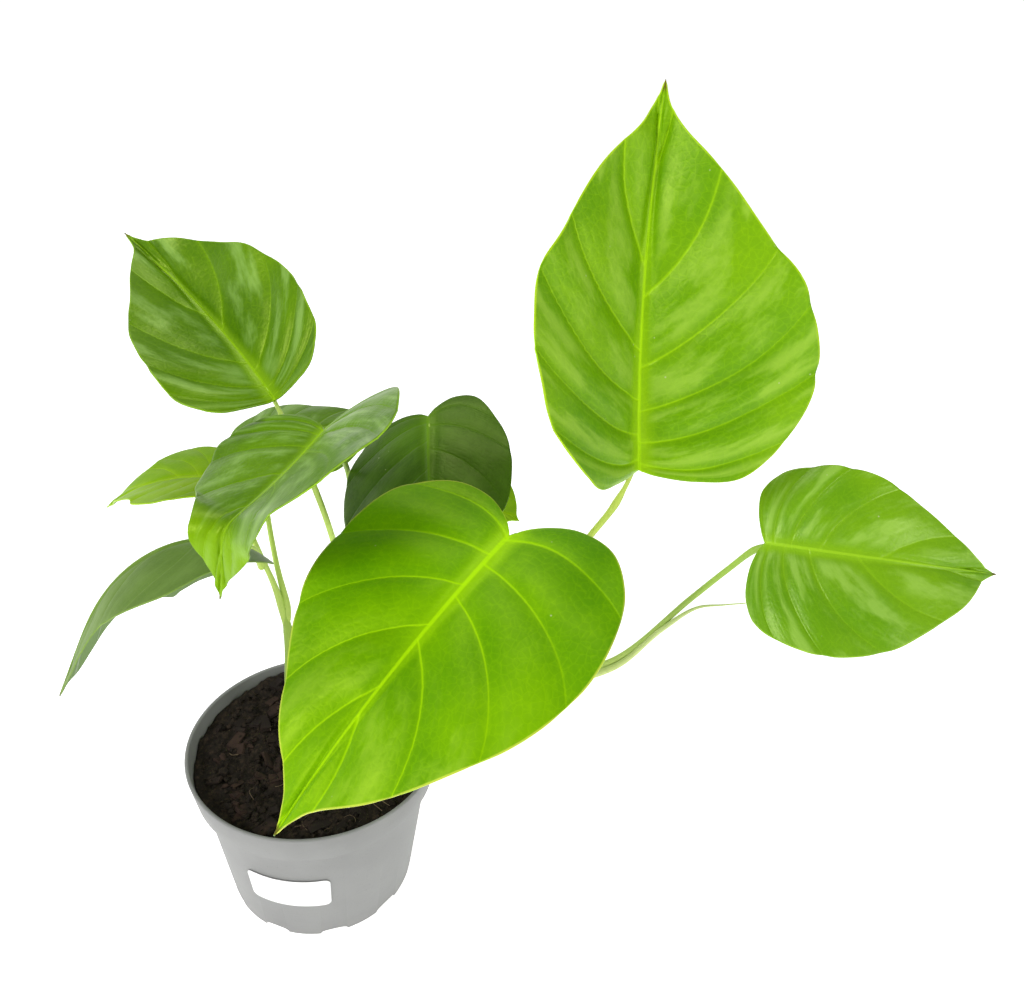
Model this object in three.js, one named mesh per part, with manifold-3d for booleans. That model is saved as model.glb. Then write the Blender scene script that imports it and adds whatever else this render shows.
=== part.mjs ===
// A young monstera in a round nursery pot: pot, label, potting mix, and three seedlings with ten leaves.
// Millimetres, +Z up. The origin is the centre of the pot's underside.
import * as THREE from 'three';
import { mergeVertices } from 'three/addons/utils/BufferGeometryUtils.js';
import Module from 'manifold-3d';

const wasm = await Module();
wasm.setup();

const clearance = 0.35; // between pieces that touch

const pot = {
  height: 85,
  rimDiameter: 120,
  bandHeight: 16.5,
  bandFootDiameter: 115,
  wallTopDiameter: 108.4,
  baseDiameter: 91,
  wall: 1.4,
  footWidth: 6,
  padRadius: 26,
  channelDepth: 2,
  drainHoles: 8,
  drainHoleDiameter: 7,
  notches: 10, // arches cut through the foot ring, one of them centred on the front
  firstNotch: -18, // degrees
  notchWidth: 13,
  notchHeight: 5,
  notchDip: 3.4, // how far the middle of an arch hangs below its shoulders
  sides: 60, // flats round the wall
};

const label = { width: 39, height: 20.5, corner: 3, thickness: 0.3, centreAngle: -95, centreHeight: 37.5 };

const soil = {
  level: 77,
  heap: 4,
  roughness: 1.1,
  sides: 36,
  rings: [8, 16, 24, 32, 40, 47], // radii of the uneven top
  edgeDrop: 0.6,
  flatGap: 0.4, // keeps the lump's flats clear of the pot's flats
  shoulder: 60, // height where the lump's side starts to follow the tapered wall
};

const bladeThickness = 0.7;
const stemTube = { radius: 2.3, steps: 10 };
const petioleTube = { radius: 1.25, steps: 14 };
const shootTube = { radius: 1.1, steps: 18 };

// Half of a blade's flat outline from sinus to tip: [across / half width, along / length].
// Points behind the sinus are the rounded lobe, and they scale with the lobe's own depth.
const halfOutline = [
  [0, 0], [0.1, -0.5], [0.34, -1], [0.62, -0.85], [0.86, -0.1], [0.98, 0.13], [1, 0.27],
  [0.9, 0.45], [0.68, 0.63], [0.4, 0.785], [0.15, 0.885], [0.055, 0.94], [0, 1],
];
const bellyRange = [4, 7]; // outline points that move along the blade with belly
const shoulderRange = [7, 9]; // outline points that widen with shoulder
const lobeDroop = 20; // degrees that the midrib line bends down by a quarter length behind the sinus

// Each blade: where its sinus is, its length and half widths, and how it is held. heading turns from +X
// towards +Y; rise is the climb at the sinus, droop what it loses by the tip, all within the bend range.
// sweep turns the tip sideways, roll leans the blade, fold lifts both halves, and curl brings the edges down.
const leaves = {
  front: {
    base: [88, -39, 233], length: 130, right: 54, left: 58, lobes: [0.09, 0.13], belly: 0.02, shoulder: 0,
    heading: -124, rise: -14, droop: 32, sweep: -11, roll: -6, fold: 5, curl: 8, rows: 18, columns: 5,
  },
  upright: {
    base: [135, -19, 253], length: 138, right: 65, left: 57, lobes: [0.04, 0.02], belly: 0.06, shoulder: -0.03,
    heading: 103, rise: 66, droop: -8, sweep: -24, roll: 21, twist: -15, fold: 30, curl: 10,
    rows: 18, columns: 5,
  },
  right: {
    base: [192, -7, 216], length: 97, right: 42, left: 36, lobes: [0.05, 0.04], belly: 0.04, shoulder: -0.02,
    heading: -21, rise: 7, droop: 22, sweep: 38, roll: 43, fold: 11, curl: 17, rows: 14, columns: 4,
  },
  rear: {
    base: [-7, 6, 261], length: 117, right: 39, left: 39, lobes: [0.03, 0.02], belly: 0.05, shoulder: 0,
    heading: 127, rise: 17, droop: -8, sweep: 22, roll: -27, fold: 34, curl: 6, rows: 14, columns: 4,
  },
  creased: {
    base: [17, -17, 261], length: 81, right: 46, left: 54, lobes: [0.08, 0.16], belly: 0.02, shoulder: 0,
    heading: -115, rise: -21, droop: 61, bend: [0.55, 0.8], sweep: -28, roll: 23, fold: 13, curl: 7,
    rows: 16, columns: 4,
  },
  dark: {
    base: [51, 30, 246], length: 89, right: 48, left: 34, lobes: [0.09, 0.11], belly: 0.06, shoulder: 0.02,
    heading: -84, rise: -22, droop: 20, sweep: 4, roll: 24, fold: -10, curl: 14, rows: 14, columns: 4,
  },
  drooping: {
    base: [-27, 2, 195], length: 110, right: 34, left: 34, lobes: [0.06, 0.06], belly: 0.12, shoulder: -0.34,
    heading: -142, rise: 48, droop: 111, bend: [-0.2, 0.8], sweep: 0, roll: 45, fold: -30, curl: 16,
    rows: 16, columns: 4,
  },
  lime: {
    base: [-35, 18, 217], length: 57, right: 26, left: 26, lobes: [0.12, 0.12], belly: 0.13, shoulder: -0.12,
    heading: 179, rise: 5, droop: 46, sweep: 5, roll: 2, fold: 10, curl: 10, rows: 12, columns: 3,
  },
  inner: {
    base: [-29, 48, 215], length: 68, right: 39, left: 35, lobes: [0.12, 0.08], belly: 0.07, shoulder: -0.08,
    heading: 37, rise: 14, droop: 28, sweep: -9, roll: -1, fold: 5, curl: 13, rows: 12, columns: 3,
  },
  small: {
    base: [69, 46, 197], length: 27, right: 19, left: 17, lobes: [0.12, 0.12], belly: 0, shoulder: 0.03,
    heading: -32, rise: 5, droop: 20, sweep: 6, roll: 14, fold: 8, curl: 9, rows: 10, columns: 3,
  },
};

// Stems stand in the potting mix. Each petiole runs from a stem, or from another petiole, up to its blade.
const stems = {
  left: [[-14, 8, 53], [-14, 8.5, 78], [-13, 11, 110], [-12, 13, 134], [-13, 14, 150]],
  middle: [[8, 8, 53], [8, 9, 78], [10, 11, 100], [12, 12, 122]],
  right: [[25, 8, 53], [27, 8, 78], [38, 7, 97], [54, 6, 108]],
};
const petioles = {
  front: [[39.5, 4.4, 101.6], [52, -4, 130], [66, -18, 175], [80, -31, 215], [87, -37.6, 231]],
  upright: [[46, 10, 106], [72, 4, 135], [98, -4, 172], [120, -12, 217], [129, -16, 237], [134, -18.4, 251]],
  right: [[57, 6, 110], [85, 5, 120], [112, 4, 129], [139, 2, 143], [167, -2, 182], [180, -4, 200],
    [190, -6.4, 214]],
  rear: [[11.2, 11.2, 122.4], [17, 11, 160], [12, 9, 196], [6, 8, 221], [1, 8, 236], [-4, 7.2, 251],
    [-6.2, 6.4, 258.5]],
  creased: [[13.6, 12, 122.3], [24, 20, 163], [20, 31, 195], [16.5, 34, 205], [15.5, 31, 217],
    [15.8, 21, 228], [16.5, 8, 239.5], [17, -6, 252], [17.4, -14.8, 258.4]],
  dark: [[12.2, 13.6, 122.3], [26, 25, 160], [38, 33, 205], [47, 34, 234], [50.4, 31.5, 243.5]],
  drooping: [[-22.6, 13.4, 180], [-23.6, 10, 187], [-26, 4.4, 192.6]],
  lime: [[-14, 14, 150.4], [-17, 15, 164], [-22, 16, 179], [-27, 17, 194], [-31.5, 18, 207], [-34, 18, 214.8]],
  inner: [[-12, 14.8, 150.4], [-13, 17, 160], [-17, 21.5, 171], [-22, 32, 187], [-26, 43, 202],
    [-28.6, 47.6, 212.4]],
  small: [[30, 12, 99], [44, 24, 130], [58, 36, 165], [66, 43, 188], [68.2, 45.2, 195]],
};
const shoot = [[57, 2.8, 107], [85, 1.8, 116.6], [112, 0.7, 125.6], [140, -1.4, 140], [160, -3.6, 165],
  [172, -6, 181], [181, -7, 183.5], [189, -8, 186]];

const green = (colour, roughness) => new THREE.MeshStandardMaterial({ color: colour, roughness, metalness: 0 });
const materials = {
  pot: new THREE.MeshStandardMaterial({ color: 0xa6a6a8, roughness: 0.6, metalness: 0 }),
  label: new THREE.MeshStandardMaterial({ color: 0xf4f4f4, roughness: 0.7, metalness: 0 }),
  soil: new THREE.MeshStandardMaterial({ color: 0x2b1f18, roughness: 0.95, metalness: 0 }),
  front: green(0x6ea800, 0.4),
  upright: green(0x6a9e10, 0.38),
  right: green(0x7aa633, 0.38),
  rear: green(0x4f8a14, 0.4),
  creased: green(0x5e9418, 0.45),
  dark: green(0x2f5a12, 0.4),
  drooping: green(0x4c7a3a, 0.5),
  lime: green(0x8cc400, 0.45),
  inner: green(0x5a9a12, 0.45),
  small: green(0x7ab214, 0.45),
  stem: green(0x9dbb62, 0.55),
};

const radians = THREE.MathUtils.degToRad;
const lerp = THREE.MathUtils.lerp;
const clamp01 = (value) => THREE.MathUtils.clamp(value, 0, 1);
const vector = (point) => new THREE.Vector3(...point);

function toManifold(geometry) {
  const bare = new THREE.BufferGeometry();
  bare.setAttribute('position', geometry.getAttribute('position').clone());
  if (geometry.index) bare.setIndex(geometry.index.clone());
  const merged = mergeVertices(bare, 1e-4);
  return new wasm.Manifold(new wasm.Mesh({
    numProp: 3,
    vertProperties: new Float32Array(merged.getAttribute('position').array),
    triVerts: new Uint32Array(merged.index.array),
  }));
}

function fromManifold(solid) {
  const mesh = solid.getMesh();
  const geometry = new THREE.BufferGeometry();
  geometry.setAttribute('position', new THREE.BufferAttribute(new Float32Array(mesh.vertProperties), 3));
  geometry.setIndex(new THREE.BufferAttribute(new Uint32Array(mesh.triVerts), 1));
  geometry.computeVertexNormals();
  return geometry;
}

// ---- pot

function wallRadius(height) {
  const rise = clamp01(height / (pot.height - pot.bandHeight));
  return lerp(pot.baseDiameter, pot.wallTopDiameter, rise) / 2;
}

function potGeometry() {
  const rim = pot.rimDiameter / 2;
  const bandFoot = pot.bandFootDiameter / 2;
  const bandBottom = pot.height - pot.bandHeight;
  const base = pot.baseDiameter / 2;
  const floor = pot.wall;
  const channelInner = pot.padRadius + pot.channelDepth;
  const channelOuter = base - pot.footWidth;
  const raised = floor + pot.channelDepth;
  const profile = [
    [0, 0], [pot.padRadius, 0], [channelInner, pot.channelDepth],
    [channelOuter - pot.channelDepth, pot.channelDepth],
    [channelOuter, 0], [base - 0.5, 0], [base, 0.6],
    [wallRadius(bandBottom), bandBottom], [bandFoot - 0.4, bandBottom], [bandFoot, bandBottom + 0.5],
    [rim, pot.height - 0.9], [rim - 0.25, pot.height - 0.25], [rim - 0.85, pot.height],
    [rim - 1.45, pot.height - 0.25],
    [rim - 1.8, pot.height - 1], [bandFoot - pot.wall, bandBottom + 2.2],
    [wallRadius(bandBottom) - pot.wall, bandBottom + 0.6], [base - pot.wall, raised + 0.6],
    [base - pot.wall - 1, raised], [channelInner - 1, raised], [channelInner - 3, floor], [0, floor],
  ].map(([x, y]) => new THREE.Vector2(x, y));
  let solid = toManifold(new THREE.LatheGeometry(profile, pot.sides).rotateX(Math.PI / 2));

  const holeRing = (channelInner + channelOuter) / 2 - 1;
  for (let i = 0; i < pot.drainHoles; i++) {
    const angle = (i * 2 * Math.PI) / pot.drainHoles;
    const radius = pot.drainHoleDiameter / 2;
    const hole = new THREE.CylinderGeometry(radius, radius, 3 * raised, 16);
    hole.rotateX(Math.PI / 2);
    hole.translate(holeRing * Math.cos(angle), holeRing * Math.sin(angle), 0);
    solid = solid.subtract(toManifold(hole));
  }
  for (let i = 0; i < pot.notches; i++) {
    const half = pot.notchWidth / 2;
    const shoulder = pot.notchHeight - 0.5;
    const arch = new THREE.Shape();
    arch.moveTo(-half, -2);
    arch.lineTo(half, -2);
    arch.lineTo(half, 0);
    arch.quadraticCurveTo(half - 0.5, shoulder, 0, pot.notchHeight - pot.notchDip);
    arch.quadraticCurveTo(-half + 0.5, shoulder, -half, 0);
    const notch = new THREE.ExtrudeGeometry(arch, {
      depth: 2 * pot.footWidth, bevelEnabled: false, curveSegments: 5,
    });
    notch.rotateX(Math.PI / 2);
    notch.translate(0, -(base - pot.footWidth + 1), 0);
    notch.rotateZ(radians((i * 360) / pot.notches + pot.firstNotch));
    solid = solid.subtract(toManifold(notch));
  }
  return fromManifold(solid);
}

// ---- label: a rounded rectangle bent round the tapered wall

function labelGeometry() {
  const { width, height, corner, thickness } = label;
  const x = width / 2;
  const y = height / 2;
  const sheet = new THREE.Shape();
  sheet.moveTo(-x + corner, -y);
  sheet.lineTo(x - corner, -y);
  sheet.quadraticCurveTo(x, -y, x, -y + corner);
  sheet.lineTo(x, y - corner);
  sheet.quadraticCurveTo(x, y, x - corner, y);
  sheet.lineTo(-x + corner, y);
  sheet.quadraticCurveTo(-x, y, -x, y - corner);
  sheet.lineTo(-x, -y + corner);
  sheet.quadraticCurveTo(-x, -y, -x + corner, -y);
  const stripCount = 12;
  let bent = null;
  const flat = new THREE.ExtrudeGeometry(sheet, { depth: thickness, bevelEnabled: false, curveSegments: 4 });
  const solid = toManifold(flat);
  // Cut into upright strips, so that the flat sheet can follow the round wall.
  for (let i = 0; i < stripCount; i++) {
    const strip = new THREE.BoxGeometry(width / stripCount, height + 2, 4);
    strip.translate(-x + (i + 0.5) * (width / stripCount), 0, 0);
    const piece = solid.intersect(toManifold(strip));
    bent = bent ? bent.add(piece) : piece;
  }
  const geometry = fromManifold(bent);
  const position = geometry.getAttribute('position');
  for (let i = 0; i < position.count; i++) {
    const z = label.centreHeight + position.getY(i);
    const radius = wallRadius(z) + clearance + position.getZ(i);
    const angle = radians(label.centreAngle) + position.getX(i) / wallRadius(label.centreHeight);
    position.setXYZ(i, radius * Math.cos(angle), radius * Math.sin(angle), z);
  }
  return geometry;
}

// ---- stems and petioles: round tubes along smooth curves

function tube(points, { radius, steps }, sides = 8) {
  const section = new THREE.Shape();
  section.absarc(0, 0, radius, 0, 2 * Math.PI, false);
  const path = new THREE.CatmullRomCurve3(points.map(vector), false, 'centripetal');
  return new THREE.ExtrudeGeometry(section, {
    extrudePath: path, steps, curveSegments: sides / 4, bevelEnabled: false,
  });
}

// ---- potting mix: a lump with an uneven top, heaped towards the back, with room for the stems

function soilTop(x, y) {
  const back = clamp01((y + 10) / 60); // 0 in front of the middle, 1 at the back wall
  const ripple = Math.sin(x * 0.23 + 1.1) * Math.cos(y * 0.19 - 0.6) + 0.6 * Math.sin(x * 0.41 - y * 0.37);
  return soil.level + soil.heap * back * back + soil.roughness * 0.6 * ripple;
}

function soilGeometry() {
  const segments = soil.sides;
  const bottom = pot.wall + pot.channelDepth + clearance + 1;
  const sideHeights = [soil.shoulder, bottom];
  const inside = (height) => wallRadius(height) - pot.wall - clearance;
  const points = [[0, 0, soilTop(0, 0)]];
  const ring = (radius, heightAt) => {
    for (let i = 0; i < segments; i++) {
      const angle = (i * 2 * Math.PI) / segments;
      const x = radius * Math.cos(angle);
      const y = radius * Math.sin(angle);
      points.push([x, y, heightAt(x, y)]);
    }
  };
  soil.rings.forEach((radius) => ring(radius, soilTop));
  const edge = inside(pot.height - pot.bandHeight) - soil.flatGap;
  ring(edge, (x, y) => soilTop(x, y) - soil.edgeDrop);
  sideHeights.forEach((height) => ring(inside(height) - soil.flatGap, () => height));
  points.push([0, 0, bottom]);
  const ringCount = (points.length - 2) / segments;
  const index = [];
  const at = (r, i) => 1 + r * segments + (i % segments);
  for (let i = 0; i < segments; i++) {
    index.push(0, at(0, i), at(0, i + 1));
    for (let r = 0; r < ringCount - 1; r++) {
      index.push(at(r, i), at(r + 1, i), at(r + 1, i + 1), at(r, i), at(r + 1, i + 1), at(r, i + 1));
    }
    index.push(at(ringCount - 1, i), points.length - 1, at(ringCount - 1, i + 1));
  }
  const lump = new THREE.BufferGeometry();
  lump.setAttribute('position', new THREE.Float32BufferAttribute(points.flat(), 3));
  lump.setIndex(index);
  let solid = toManifold(lump);
  for (const stem of Object.values(stems)) {
    const start = vector(stem[0]);
    const below = start.clone().sub(vector(stem[1]).sub(start).setLength(clearance));
    const room = { radius: stemTube.radius + clearance, steps: stemTube.steps };
    solid = solid.subtract(toManifold(tube([below.toArray(), ...stem.slice(1)], room, 12)));
  }
  return fromManifold(solid);
}

// ---- leaf blades

// Stations along the midrib line, from a quarter length behind the sinus to the tip, each with its frame:
// along the midrib, to the blade's left, and out of its upper face.
function midribLine(leaf) {
  const count = 60;
  const [bendFrom, bendTo] = leaf.bend ?? [0, 1];
  const stations = [];
  for (let i = 0; i < count; i++) {
    const a = lerp(-0.25, 1, i / (count - 1));
    let g = clamp01((a - bendFrom) / (bendTo - bendFrom));
    if (leaf.bend) g = g * g * (3 - 2 * g);
    const pitch = radians(leaf.rise - leaf.droop * g + (a < 0 ? (-lobeDroop * a) / 0.25 : 0));
    const heading = radians(leaf.heading + leaf.sweep * clamp01(a));
    const roll = radians(leaf.roll + (leaf.twist ?? 0) * clamp01(a));
    const along = new THREE.Vector3(
      Math.cos(pitch) * Math.cos(heading), Math.cos(pitch) * Math.sin(heading), Math.sin(pitch));
    const level = new THREE.Vector3(-Math.sin(heading), Math.cos(heading), 0);
    const upright = along.clone().cross(level);
    const left = level.multiplyScalar(Math.cos(roll)).addScaledVector(upright, Math.sin(roll));
    stations.push({ a, along, left, up: along.clone().cross(left) });
  }
  const step = (1.25 / (count - 1)) * leaf.length;
  stations[0].point = new THREE.Vector3();
  for (let i = 1; i < count; i++) {
    const mean = stations[i].along.clone().add(stations[i - 1].along).multiplyScalar(step / 2);
    stations[i].point = stations[i - 1].point.clone().add(mean);
  }
  const mixed = (name, a) => {
    const place = clamp01((a + 0.25) / 1.25) * (count - 1);
    const i = Math.min(Math.floor(place), count - 2);
    return stations[i][name].clone().lerp(stations[i + 1][name], place - i);
  };
  const shift = vector(leaf.base).sub(mixed('point', 0));
  return (a) => ({ point: mixed('point', a).add(shift), left: mixed('left', a), up: mixed('up', a) });
}

// A point of the blade from its flat place: x across (right side positive), y along, offset out of the face.
function bladePoint(leaf, line, x, y, offset) {
  const { point, left, up } = line(y / leaf.length);
  const halfWidth = x > 0 ? leaf.right : leaf.left;
  const bend = radians(leaf.curl) / halfWidth;
  const fold = radians(leaf.fold);
  const distance = Math.abs(x);
  const side = Math.sign(x);
  const lean = fold - bend * distance;
  const across = (Math.sin(fold) - Math.sin(lean)) / bend;
  const lift = (Math.cos(lean) - Math.cos(fold)) / bend;
  point.addScaledVector(left, -side * across).addScaledVector(up, lift);
  point.addScaledVector(up, offset * Math.cos(lean)).addScaledVector(left, side * offset * Math.sin(lean));
  return point;
}

function halfOutlineCurve(leaf, side) {
  const width = side > 0 ? leaf.right : leaf.left;
  const lobe = leaf.lobes[side > 0 ? 0 : 1];
  return new THREE.SplineCurve(halfOutline.map(([across, along], i) => {
    const widen = i >= shoulderRange[0] && i <= shoulderRange[1] ? 1 + leaf.shoulder : 1;
    const slide = i >= bellyRange[0] && i <= bellyRange[1] ? leaf.belly : 0;
    const lobed = along < 0 ? along * lobe : along;
    return new THREE.Vector2(across * widen * width, (lobed + slide) * leaf.length);
  }));
}

// Where on the midrib the vein that ends at outline parameter t starts: veins leave it low and arch forward.
const veinStart = (t) => 1 - (1 - t ** 2.6) ** 1.25;

// A thin closed sheet: rows follow the veins from left edge to right edge, between the sinus and the tip.
function bladeGeometry(leaf) {
  const line = midribLine(leaf);
  const curves = { '-1': halfOutlineCurve(leaf, -1), 1: halfOutlineCurve(leaf, 1) };
  const { rows, columns } = leaf;
  const across = 2 * columns + 1;
  const points = [];
  const flat = (row, column) => {
    const side = column < columns ? -1 : 1;
    const reach = Math.abs(column - columns) / columns;
    const t = row / rows;
    const outline = curves[side].getPoint(t);
    return [side * lerp(0, outline.x, reach), lerp(veinStart(t) * leaf.length, outline.y, reach)];
  };
  for (const offset of [bladeThickness / 2, -bladeThickness / 2]) {
    points.push(bladePoint(leaf, line, 0, 0, offset));
    for (let row = 1; row < rows; row++) {
      for (let column = 0; column < across; column++) {
        const [x, y] = flat(row, column);
        points.push(bladePoint(leaf, line, x, y, offset));
      }
    }
    points.push(bladePoint(leaf, line, 0, leaf.length, offset));
  }
  const faceSize = points.length / 2;
  const at = (face, row, column) => {
    if (row === 0) return face * faceSize;
    if (row === rows) return face * faceSize + faceSize - 1;
    return face * faceSize + 1 + (row - 1) * across + column;
  };
  const index = [];
  const triangle = (a, b, c, turned) => {
    if (a !== b && b !== c && a !== c) index.push(a, turned ? c : b, turned ? b : c);
  };
  for (let face = 0; face < 2; face++) {
    for (let row = 0; row < rows; row++) {
      for (let column = 0; column < across - 1; column++) {
        const corners = [at(face, row, column), at(face, row, column + 1),
          at(face, row + 1, column + 1), at(face, row + 1, column)];
        triangle(corners[0], corners[1], corners[2], face === 1);
        triangle(corners[0], corners[2], corners[3], face === 1);
      }
    }
  }
  for (let row = 0; row < rows; row++) {
    for (const column of [0, across - 1]) {
      const corners = [at(0, row, column), at(0, row + 1, column), at(1, row + 1, column), at(1, row, column)];
      triangle(corners[0], corners[1], corners[2], column !== 0);
      triangle(corners[0], corners[2], corners[3], column !== 0);
    }
  }
  const geometry = new THREE.BufferGeometry();
  geometry.setAttribute('position', new THREE.Float32BufferAttribute(points.flatMap((p) => p.toArray()), 3));
  geometry.setIndex(index);
  geometry.computeVertexNormals();
  return geometry;
}

// ---- the plant in its pot

const group = new THREE.Group();
function add(name, geometry, material) {
  const mesh = new THREE.Mesh(geometry, material);
  mesh.name = name;
  group.add(mesh);
}

add('pot', potGeometry(), materials.pot);
add('label', labelGeometry(), materials.label);
add('soil', soilGeometry(), materials.soil);
for (const [name, points] of Object.entries(stems)) {
  add(`stem_${name}`, tube(points, stemTube), materials.stem);
}
for (const [name, points] of Object.entries(petioles)) {
  add(`petiole_${name}`, tube(points, petioleTube), materials.stem);
}
add('new_shoot', tube(shoot, shootTube), materials.stem);
for (const [name, leaf] of Object.entries(leaves)) {
  add(`leaf_${name}`, bladeGeometry(leaf), materials[name]);
}

export default group;
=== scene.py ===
import math
import random

import bmesh
import bpy
from mathutils import Matrix, Vector, noise


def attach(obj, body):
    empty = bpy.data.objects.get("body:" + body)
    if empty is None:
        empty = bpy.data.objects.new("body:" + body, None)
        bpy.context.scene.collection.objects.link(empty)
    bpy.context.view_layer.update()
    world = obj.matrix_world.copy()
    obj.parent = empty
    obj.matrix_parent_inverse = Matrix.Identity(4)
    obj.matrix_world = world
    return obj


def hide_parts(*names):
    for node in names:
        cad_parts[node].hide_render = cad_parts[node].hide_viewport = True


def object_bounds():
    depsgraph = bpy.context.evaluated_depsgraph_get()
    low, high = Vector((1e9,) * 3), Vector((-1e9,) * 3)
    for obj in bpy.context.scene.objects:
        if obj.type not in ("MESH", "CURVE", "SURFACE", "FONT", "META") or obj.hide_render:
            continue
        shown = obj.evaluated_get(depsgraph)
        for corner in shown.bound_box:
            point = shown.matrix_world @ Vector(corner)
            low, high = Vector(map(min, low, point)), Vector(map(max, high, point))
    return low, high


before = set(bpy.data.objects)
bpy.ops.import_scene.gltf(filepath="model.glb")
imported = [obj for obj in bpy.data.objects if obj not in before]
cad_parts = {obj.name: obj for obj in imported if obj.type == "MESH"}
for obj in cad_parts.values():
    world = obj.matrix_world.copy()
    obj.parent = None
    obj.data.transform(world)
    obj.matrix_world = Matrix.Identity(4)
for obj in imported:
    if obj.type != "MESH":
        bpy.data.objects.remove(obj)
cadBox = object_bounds()
mm = 0.001
mergeGap = 0.004  # millimetres: points closer than this become one
print("frame loaded:", len(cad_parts), "nodes")


# The camera comes first. Its place is in metres, its angles in degrees.
camera = dict(
    place=(0.08823, -0.32825, 0.42106), down=30.30, lean=3.25, lens=33, sensor=36,
    clip=(0.01, 200),
)


def setCamera():
    down = math.radians(camera["down"])
    lean = math.radians(camera["lean"])
    forward = Vector((0, math.cos(down), -math.sin(down)))
    above = Vector((0, math.sin(down), math.cos(down)))
    beside = Vector((1, 0, 0))
    right = math.cos(lean) * beside + math.sin(lean) * above
    up = math.cos(lean) * above - math.sin(lean) * beside
    data = bpy.data.cameras.new("camera")
    data.lens = camera["lens"]
    data.sensor_width = camera["sensor"]
    data.clip_start, data.clip_end = camera["clip"]
    made = bpy.data.objects.new("camera", data)
    turn = Matrix((right, up, -forward)).transposed().to_4x4()
    made.matrix_world = Matrix.Translation(camera["place"]) @ turn
    bpy.context.scene.collection.objects.link(made)
    bpy.context.scene.camera = made


setCamera()


def clamp(value, low=0.0, high=1.0):
    return max(low, min(high, value))


def mixed(first, second, share):
    return first + (second - first) * share


def smooth(low, high, value):
    share = clamp((value - low) / (high - low))
    return share * share * (3 - 2 * share)


# A Link holds one output socket, and Python operators on it add Math nodes.
class Link:
    def __init__(self, board, socket):
        self.board = board
        self.socket = socket

    def __add__(self, other):
        return self.board.maths("ADD", self, other)

    __radd__ = __add__

    def __sub__(self, other):
        return self.board.maths("SUBTRACT", self, other)

    def __rsub__(self, other):
        return self.board.maths("SUBTRACT", other, self)

    def __mul__(self, other):
        return self.board.maths("MULTIPLY", self, other)

    __rmul__ = __mul__


class Board:
    # Makes and joins the nodes of one tree.
    def __init__(self, tree):
        self.nodes = tree.nodes
        self.links = tree.links

    def plug(self, socket, value):
        if isinstance(value, Link):
            self.links.new(value.socket, socket)
        elif isinstance(value, tuple) and len(value) == 3 and socket.type == "RGBA":
            socket.default_value = (*value, 1)
        else:
            socket.default_value = value

    def node(self, kind, settings=None, inputs=None, output=0):
        made = self.nodes.new("ShaderNode" + kind)
        for name, value in (settings or {}).items():
            if name == "stops":
                self.setStops(made.color_ramp, value)
            else:
                setattr(made, name, value)
        for name, value in (inputs or {}).items():
            self.plug(made.inputs[name], value)
        return Link(self, made.outputs[output])

    def setStops(self, ramp, stops):
        while len(ramp.elements) < len(stops):
            ramp.elements.new(0.5)
        for element, (place, colour) in zip(ramp.elements, stops):
            element.position = place
            element.color = (*colour, 1)

    def maths(self, operation, first, second=0.0):
        return self.node("Math", {"operation": operation}, {0: first, 1: second})

    def mix(self, share, first, second):
        settings = {"data_type": "RGBA", "clamp_factor": True}
        return self.node("Mix", settings, {0: share, 6: first, 7: second}, 2)

    def smooth(self, value, low, high):
        settings = {"interpolation_type": "SMOOTHSTEP"}
        return self.node("MapRange", settings, {0: value, 1: low, 2: high})

    def place(self):
        return self.node("TexCoord", output="Object")

    def uv(self, name):
        return self.node("UVMap", {"uv_map": name})

    def vector(self, x, y, z=0.0):
        return self.node("CombineXYZ", inputs={0: x, 1: y, 2: z})

    def parts(self, vector):
        made = self.nodes.new("ShaderNodeSeparateXYZ")
        self.plug(made.inputs[0], vector)
        return [Link(self, socket) for socket in made.outputs]

    def noise(self, where, scale, detail=2.0, roughness=0.5):
        inputs = {"Vector": where, "Scale": scale, "Detail": detail, "Roughness": roughness}
        return self.node("TexNoise", inputs=inputs)

    def cells(self, where, scale, feature="F1"):
        return self.node("TexVoronoi", {"feature": feature}, {"Vector": where, "Scale": scale}, "Distance")

    def bump(self, height, strength, distance, under=None):
        inputs = {"Height": height, "Strength": strength, "Distance": distance}
        if under:
            inputs["Normal"] = under
        return self.node("Bump", inputs=inputs)


class Paint(Board):
    # One material: a Principled surface whose base colour is laid on in coats.
    def __init__(self, name, **sockets):
        self.material = bpy.data.materials.new(name)
        self.material.use_nodes = True
        super().__init__(self.material.node_tree)
        self.surface = self.nodes["Principled BSDF"]
        self.colour = None
        self.set(**sockets)

    def set(self, **sockets):
        for name, value in sockets.items():
            self.plug(self.surface.inputs[name.replace("_", " ")], value)

    def lay(self, share, shade):
        self.colour = self.mix(share, self.colour, shade)

    def finish(self, **sockets):
        self.set(Base_Color=self.colour, **sockets)


# Every curved piece starts as a grid, and place(u, v) says in millimetres where each corner goes.
def gridMesh(name, columns, rows, place, paints, uvMaps=None, closed=False):
    mesh = bmesh.new()
    bmesh.ops.create_grid(mesh, x_segments=columns, y_segments=rows, size=0.5)
    shares = {vert: (vert.co.x + 0.5, vert.co.y + 0.5) for vert in mesh.verts}
    for uvName, uvOf in (uvMaps or {}).items():
        layer = mesh.loops.layers.uv.new(uvName)
        known = {}
        for face in mesh.faces:
            side = 1 if sum(shares[vert][0] for vert in face.verts) > 2 else -1
            for loop in face.loops:
                key = (loop.vert, side)
                if key not in known:
                    known[key] = uvOf(*shares[loop.vert], side)
                loop[layer].uv = known[key]
    for vert, (u, v) in shares.items():
        vert.co = Vector(place(u, v)) * mm
    bmesh.ops.remove_doubles(mesh, verts=mesh.verts, dist=mergeGap * mm)
    if closed:
        bmesh.ops.recalc_face_normals(mesh, faces=mesh.faces)
    return finishPiece(name, mesh, paints)


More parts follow.
